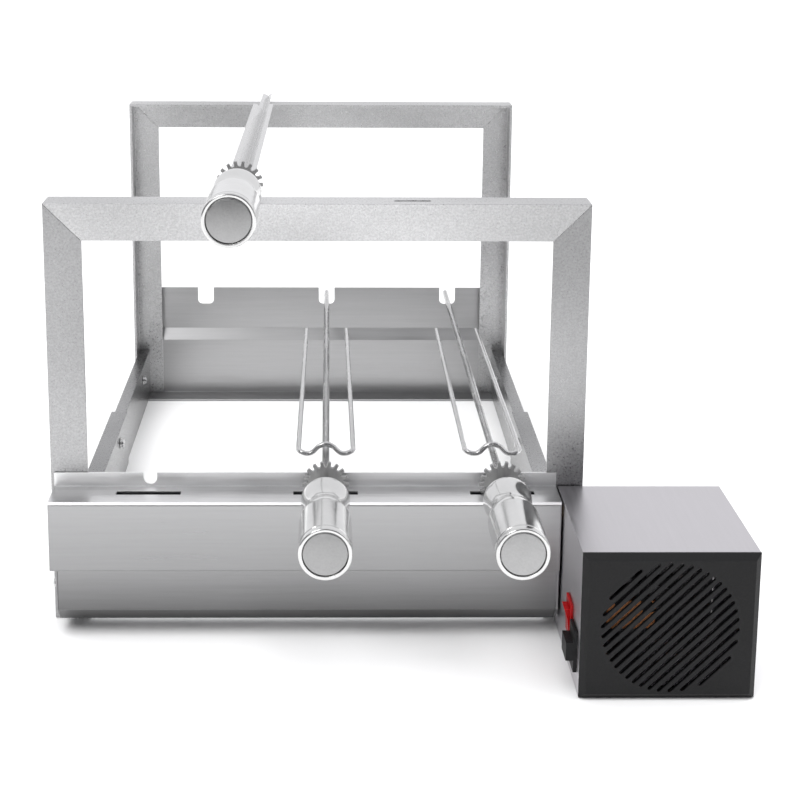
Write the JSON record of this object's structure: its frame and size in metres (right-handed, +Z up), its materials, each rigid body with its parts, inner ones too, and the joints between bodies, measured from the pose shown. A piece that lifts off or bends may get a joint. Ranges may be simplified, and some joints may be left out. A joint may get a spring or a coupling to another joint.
{
  "type": "rotisserie spit roaster",
  "caption": "Table-top rotisserie spit roaster: two upright frames on sliding floor rails, worm-driven fork skewers, a parked blade skewer and a side motor box.",
  "frame": {"origin": "on the table, under the middle of the overall box", "axes": "+X to the motor box, +Y from the handles to the rear, +Z up"},
  "size_m": [0.547, 0.8472, 0.384],
  "materials": {
    "frame_steel": "satin brushed stainless",
    "sheet_steel": "satin sheet",
    "box_steel": "fine satin sheet",
    "rod_steel": "drawn bright wire",
    "gear_steel": "laser-cut plate",
    "handle_chrome": "polished",
    "disc_satin": "satin",
    "black_plastic": "moulded, matte",
    "red_plastic": "moulded, semi-gloss",
    "brass": "turned",
    "copper": "enamelled winding",
    "core_iron": "laminated core"
  },
  "bodies": {
    "base": {"front_frame_left_leg": "frame_steel", "front_frame_right_leg": "frame_steel", "front_frame_top_bar": "frame_steel", "left_rail_front": "frame_steel", "right_rail_front": "frame_steel", "notch_plate": "sheet_steel", "housing_cover": "sheet_steel", "housing_body": "sheet_steel", "housing_left_end": "sheet_steel", "housing_right_end": "sheet_steel", "motor_box_shell": "box_steel", "motor_box_base": "box_steel", "left_clamp_bolt": "rod_steel", "right_clamp_bolt": "rod_steel", "end_screw": "rod_steel", "left_shaft_bush": "brass", "right_shaft_bush": "brass", "vent_cover": "black_plastic", "gearbox_case": "black_plastic", "gearbox_lid": "black_plastic", "rocker_contacts": "black_plastic", "power_inlet": "black_plastic", "rocker_bezel": "red_plastic", "stator_coil": "copper", "stator": "core_iron"},
    "worm": {"worm_shaft": "rod_steel", "left_worm": "gear_steel", "middle_worm": "gear_steel", "right_worm": "gear_steel", "shaft_coupling": "brass", "output_shaft": "rod_steel", "gearbox_wheel": "brass"},
    "rotor": {"rotor_shaft": "rod_steel", "rotor_worm": "rod_steel", "rotor_core": "core_iron", "cooling_fan": "black_plastic"},
    "middle_skewer": {"middle_skewer_rod": "rod_steel", "middle_skewer_gear": "gear_steel", "middle_skewer_fork": "rod_steel", "middle_skewer_handle": "handle_chrome", "middle_skewer_end_disc": "disc_satin"},
    "right_skewer": {"right_skewer_rod": "rod_steel", "right_skewer_gear": "gear_steel", "right_skewer_fork": "rod_steel", "right_skewer_handle": "handle_chrome", "right_skewer_end_disc": "disc_satin"},
    "blade_skewer": {"blade_skewer_blade": "rod_steel", "blade_skewer_pin": "rod_steel", "blade_skewer_gear": "gear_steel", "blade_skewer_handle": "handle_chrome", "blade_skewer_end_disc": "disc_satin"},
    "rear_half": {"rear_frame_left_leg": "frame_steel", "rear_frame_right_leg": "frame_steel", "rear_frame_top_bar": "frame_steel", "left_rail_rear": "frame_steel", "right_rail_rear": "frame_steel", "left_rear_bolt": "rod_steel", "right_rear_bolt": "rod_steel", "rear_notch_beam": "sheet_steel"},
    "rocker": {"rocker_button": "red_plastic"}
  },
  "joints": [
    {"name": "worm_shaft_spin", "type": "hinge", "parent": "base", "child": "worm", "pos_m": [-0.056, -0.27133, 0.0986], "axis": [1, 0, 0], "continuous": true},
    {"name": "rotor_spin", "type": "hinge", "parent": "base", "child": "rotor", "pos_m": [0.188, -0.27133, 0.0848], "axis": [0, 1, 0], "continuous": true},
    {"name": "middle_skewer_spin", "type": "hinge", "parent": "base", "child": "middle_skewer", "pos_m": [-0.0494, -0.27133, 0.123], "axis": [0, 0.9999, -0.0157], "continuous": true},
    {"name": "right_skewer_spin", "type": "hinge", "parent": "base", "child": "right_skewer", "pos_m": [0.0936, -0.27133, 0.123], "axis": [0, 0.9999, -0.0157], "continuous": true},
    {"name": "blade_skewer_lift", "type": "slide", "parent": "base", "child": "blade_skewer", "axis": [0, 0, 1], "range_m": [0, 0.12]},
    {"name": "depth_adjust", "type": "slide", "parent": "base", "child": "rear_half", "axis": [0, 1, 0], "range_m": [-0.07, 0]},
    {"name": "rocker_tilt", "type": "hinge", "parent": "base", "child": "rocker", "pos_m": [0.141, -0.34783, 0.043], "axis": [0, 1, 0], "range_deg": [0, 18]}
  ],
  "couplings": [
    {"joint": "rotor_spin", "follows": "worm_shaft_spin", "ratio": -20},
    {"joint": "middle_skewer_spin", "follows": "worm_shaft_spin", "ratio": 0.055556},
    {"joint": "right_skewer_spin", "follows": "worm_shaft_spin", "ratio": 0.055556}
  ]
}
